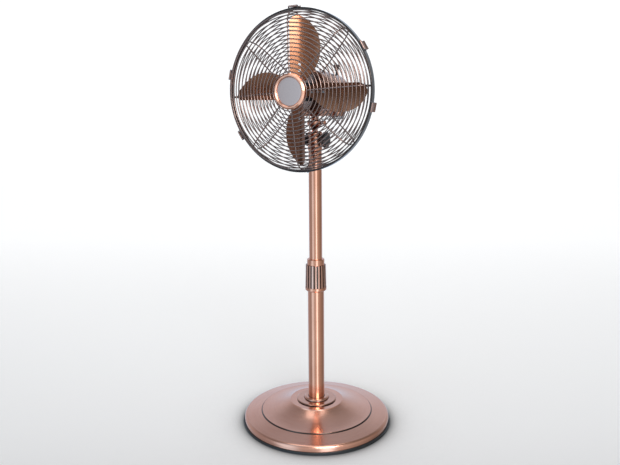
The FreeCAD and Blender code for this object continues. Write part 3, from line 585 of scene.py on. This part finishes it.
# %% Coppers
copper_light = (1.00, 0.50, 0.33)
copper_dark = (0.80, 0.35, 0.21)
up_grain = (brushed_grain, {"Stretch": (1100.0, 1100.0, 9.0)})
ring_grain = (turned_grain, {})
fine_grain = (brushed_grain, {"Stretch": (300.0, 300.0, 300.0)})
blade_grain = (brushed_grain, {"Stretch": (60.0, 700.0, 700.0)})
rim_grain = (brushed_grain, {"Stretch": (40.0, 900.0, 40.0)})
pole_r = span("outer_tube").x / 2
base_shade_lines = ((0.1648, 0.0022),)
flange_shade_lines = ((0.0588, 0.0009), (0.0372, 0.0009), (pole_r + 0.0007, 0.0014))
base_copper = copper(
    "base_copper", (1.00, 0.53, 0.375), (0.82, 0.375, 0.25), 0.20, ring_grain, 0.000008, shade_lines=base_shade_lines
)
flange_copper = copper(
    "flange_copper", (0.92, 0.48, 0.34), (0.66, 0.31, 0.20), 0.18, ring_grain, shade_lines=flange_shade_lines
)
pole_copper = copper("pole_copper", copper_light, copper_dark, 0.15, up_grain)
mast_copper = copper("mast_copper", copper_light, copper_dark, 0.15, up_grain)
collar_copper = copper("collar_copper", (1.0, 0.56, 0.42), (0.80, 0.38, 0.25), 0.20, up_grain)
neck_copper = copper("neck_copper", copper_light, copper_dark, 0.18, ring_grain)
housing_copper = copper("housing_copper", (0.66, 0.34, 0.22), (0.40, 0.19, 0.12), 0.26, ring_grain)
blade_copper = copper(
    "blade_copper", (0.42, 0.165, 0.078), (0.29, 0.110, 0.05), 0.18, blade_grain, lacquer=0.5
)
guard_copper = copper(
    "guard_copper", (0.34, 0.225, 0.185), (0.22, 0.14, 0.115), 0.20, fine_grain, lacquer=0.5
)
rim_bronze = copper("rim_bronze", (0.14, 0.115, 0.10), (0.06, 0.048, 0.042), 0.14, rim_grain, lacquer=1.0)
clip_dark = copper("clip_dark", (0.20, 0.15, 0.13), (0.06, 0.045, 0.04), 0.26, fine_grain)
clip_copper = copper("clip_copper", (0.70, 0.44, 0.35), (0.34, 0.20, 0.16), 0.24, fine_grain)
print("pole radius", round(pole_r, 4), "m,", len(flange_shade_lines), "flange seams")

# %% [markdown]
# **Plain metals and plastics.** Moulded black plastic has a fine spark-eroded skin, rubber is duller,
# and zinc, steel, bronze and brass differ in tone and scratches. They share one maker each.

# %% Plastic and metal makers
plastic_dust = (0.30, 0.29, 0.28)


def moulded(name, colour, roughness, grain_scale, grain_depth, cover=0.3):
    material, tree, shader = start_material(name)
    place = tree.nodes.new("ShaderNodeTexCoord")
    noise = add_node(tree, "ShaderNodeTexNoise", Scale=grain_scale, Detail=3.0, Roughness=0.6)
    tree.links.new(place.outputs["Object"], noise.inputs["Vector"])
    age = use_group(tree, patina, Drift=25.0)
    settled = use_group(tree, dust, Cover=cover).outputs["Dust"]
    paler = tuple(min(1.0, c * 1.5 + 0.006) for c in colour)
    body = blend_colour(tree, age.outputs["Cloud"], colour, paler)
    tree.links.new(blend_colour(tree, settled, body, plastic_dust), shader.inputs["Base Color"])
    bare_rough = remap(tree, noise.outputs["Fac"], *grain_span, roughness - 0.06, roughness + 0.08)
    dusty_rough = maths(tree, "MULTIPLY", settled, 0.4)
    tree.links.new(maths(tree, "ADD", bare_rough, dusty_rough), shader.inputs["Roughness"])
    add_bump(tree, shader, noise.outputs["Fac"], 0.5, grain_depth)
    return material


def bare_metal(name, light, dark, roughness, stretch=(250.0, 250.0, 250.0)):
    return copper(name, light, dark, roughness, (brushed_grain, {"Stretch": stretch}), cover=0.2)


# %% Plastics, rubber and plain metals
rubber = moulded("rubber", (0.012, 0.013, 0.014), 0.42, 900.0, 0.00006, cover=0.05)
black_plastic = moulded("black_plastic", (0.014, 0.014, 0.015), 0.40, 1400.0, 0.00004)
clamp_plastic = moulded("clamp_plastic", (0.62, 0.60, 0.54), 0.45, 700.0, 0.00003)
zinc = bare_metal("zinc", (0.66, 0.67, 0.68), (0.42, 0.43, 0.45), 0.36)
steel = bare_metal("steel", (0.72, 0.72, 0.72), (0.50, 0.50, 0.50), 0.24)
brass = bare_metal("brass", (0.80, 0.62, 0.32), (0.58, 0.42, 0.20), 0.26)
bearing_bronze = bare_metal("bearing_bronze", (0.62, 0.45, 0.26), (0.40, 0.28, 0.15), 0.42)
wound = (40.0, 900.0, 40.0)
stacked = (20.0, 2200.0, 20.0)
enamel_wire = bare_metal("enamel_wire", (0.62, 0.26, 0.10), (0.30, 0.11, 0.04), 0.25, wound)
laminations = bare_metal("laminations", (0.34, 0.34, 0.36), (0.15, 0.15, 0.17), 0.42, stacked)
cast_weight = moulded("cast_weight", (0.05, 0.05, 0.055), 0.62, 260.0, 0.0004)
print(len(bpy.data.materials), "materials so far")

# %% [markdown]
# ** Collar grip.** The grooves between the ribs are darker than the ribs, near black.
# The distance from the pole tells groove from rib.

# %% Grip finish
groove_bottom = 0.0036
groove_top = 0.0020
groove_tone = (0.035, 0.018, 0.010)


def grip_finish():
    """Collar copper whose grooves are darker than the ribs; depths are measured from the ribs' tops."""
    rib_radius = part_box("collar_grip")[1][0]
    material = copper("grip_copper", (1.0, 0.62, 0.48), (0.80, 0.42, 0.30), 0.20, up_grain)
    tree = material.node_tree
    shader = tree.nodes["Principled BSDF"]
    polished = shader.inputs["Base Color"].links[0].from_socket
    radius = use_group(tree, turned_grain).outputs["Radius"]
    groove = remap(tree, radius, rib_radius - groove_bottom, rib_radius - groove_top, 1.0, 0.0)
    tree.links.new(blend_colour(tree, groove, polished, groove_tone), shader.inputs["Base Color"])
    return material


grip_copper = grip_finish()
print("grip grooves reach", groove_bottom, "m below the ribs")


# %% [markdown]
# **Outer wires.** The guards are plated on a rack, and their outer wires and the rim come out darker
# than the middle. The distance from the motor's axis, measured square to it, blends the two tones. An
# axis that isn't the vertical one needs its own sum, so the group has the axis's height as an input.

# %% Guard finish


def make_head_radius():
    group, given, made = new_group("head_radius", [("Height", "NodeSocketFloat", 0.968)], ["Radius"])
    place = group.nodes.new("ShaderNodeTexCoord")
    parts = group.nodes.new("ShaderNodeSeparateXYZ")
    group.links.new(place.outputs["Object"], parts.inputs[0])
    across = parts.outputs[0]
    above = maths(group, "SUBTRACT", parts.outputs[2], given.outputs["Height"])
    across_squared = maths(group, "MULTIPLY", across, across)
    above_squared = maths(group, "MULTIPLY", above, above)
    squares = maths(group, "ADD", across_squared, above_squared)
    group.links.new(maths(group, "SQRT", squares), made.inputs["Radius"])
    return group


head_radius = make_head_radius()


def darken_outside(material, start, end, tone):
    """Blends a finish into a darker tone between two distances from the motor's axis."""
    tree = material.node_tree
    shader = tree.nodes["Principled BSDF"]
    plain = shader.inputs["Base Color"].links[0].from_socket
    radius = use_group(tree, head_radius, Height=head_z).outputs["Radius"]
    mask = remap(tree, radius, start, end)
    tree.links.new(blend_colour(tree, mask, plain, tone), shader.inputs["Base Color"])


dark_start = guard_r - 0.013
dark_end = guard_r - 0.005
outer_tone = (0.10, 0.078, 0.068)
darken_outside(guard_copper, dark_start, dark_end, outer_tone)
print("outer wires darken from", round(dark_start, 4), "m")

# %% [markdown]
# ## The badge
# The disc in the middle of the guard is thin sheet with a soft crown, and its edge rolls back into the
# ring. A flat cylinder would reflect one even tone, so half of the outline is drawn and spun round the
# motor's axis. It was polished while it turned, so its fine scratches follow the same radius.

# %% Badge finish
badge_light = (0.66, 0.51, 0.455)
badge_dark = (0.56, 0.43, 0.385)
badge_speck = (0.20, 0.17, 0.15)
badge_rings = 2400.0


def make_badge_finish():
    material, tree, shader = start_material("badge_silver")
    radius = use_group(tree, head_radius, Height=head_z).outputs["Radius"]
    join = tree.nodes.new("ShaderNodeCombineXYZ")
    tree.links.new(maths(tree, "MULTIPLY", radius, badge_rings), join.inputs[0])
    rings = add_node(tree, "ShaderNodeTexNoise", Scale=1.0, Detail=3.0, Roughness=0.6)
    tree.links.new(join.outputs[0], rings.inputs["Vector"])
    age = use_group(tree, patina, Drift=30.0)
    tone = remap(tree, rings.outputs["Fac"], *grain_span)
    colour = blend_colour(tree, tone, badge_dark, badge_light)
    speck = maths(tree, "MULTIPLY", age.outputs["Speck"], 0.12)
    tree.links.new(blend_colour(tree, speck, colour, badge_speck), shader.inputs["Base Color"])
    roughness = remap(tree, rings.outputs["Fac"], *grain_span, 0.36, 0.46)
    tree.links.new(roughness, shader.inputs["Roughness"])
    shader.inputs["Metallic"].default_value = 1.0
    add_bump(tree, shader, rings.outputs["Fac"], 0.25, 0.000004)
    return material


badge_silver = make_badge_finish()
print("finish", badge_silver.name)

# %% Badge disc


def fill_badge(bm):
    """Half of the outline, from the crown over the rolled edge to the back, spun into a disc."""
    low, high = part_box("badge_disc")
    disc_r = (high[0] - low[0]) / 2
    front, back = low[1], high[1]
    crown = 0.0007
    edge = 0.0009
    flat_r = disc_r - edge
    crown_steps = 6
    edge_steps = 4
    outline = []
    for k in range(crown_steps + 1):
        share = k / crown_steps
        outline.append((flat_r * share, front + crown * share**2))
    for k in range(1, edge_steps + 1):
        a = math.pi / 2 * k / edge_steps
        outline.append((flat_r + edge * math.sin(a), front + crown + edge * (1 - math.cos(a))))
    outline += [(disc_r, back), (0.0, back)]
    points = [bm.verts.new((r, y, head_z)) for r, y in outline]
    edges = [bm.edges.new(pair) for pair in zip(points, points[1:])]
    bmesh.ops.spin(
        bm, geom=points + edges, cent=(0, 0, head_z), axis=(0, 1, 0),
        angle=math.tau, steps=96, use_merge=True,
    )
    bmesh.ops.remove_doubles(bm, verts=bm.verts, dist=0.00001)
    bmesh.ops.recalc_face_normals(bm, faces=bm.faces)


badge = new_piece("badge_face", fill_badge, badge_silver, body="head")
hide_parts("badge_disc")
print("badge", len(badge.data.polygons), "faces")

# %% Give every CAD node the finish of its slot
finishes = {
    "rubber": rubber, "cast_weight": cast_weight, "base_copper": base_copper,
    "flange_copper": flange_copper, "pole_copper": pole_copper, "mast_copper": mast_copper,
    "collar_copper": collar_copper, "neck_copper": neck_copper, "housing_copper": housing_copper,
    "zinc": zinc, "steel": steel, "clamp_plastic": clamp_plastic, "black_plastic": black_plastic,
    "brass": brass, "laminations": laminations, "enamel_wire": enamel_wire,
    "bearing_bronze": bearing_bronze, "blade_copper": blade_copper, "guard_copper": guard_copper,
    "rim_bronze": rim_bronze, "badge_silver": badge_silver, "clip_dark": clip_dark,
}
slot_of = {entry["node"]: entry["material_slot"] for entry in frame["record"]["subparts"]}
for name, node in nodes.items():
    for slot in node.material_slots:
        slot.material = finishes[slot_of[name]]
nodes["collar_grip"].material_slots[0].material = grip_copper
for name in nodes:
    if name.startswith("clip_lever"):
        nodes[name].material_slots[0].material = clip_copper
print(len(finishes), "finishes on", len(nodes), "nodes")
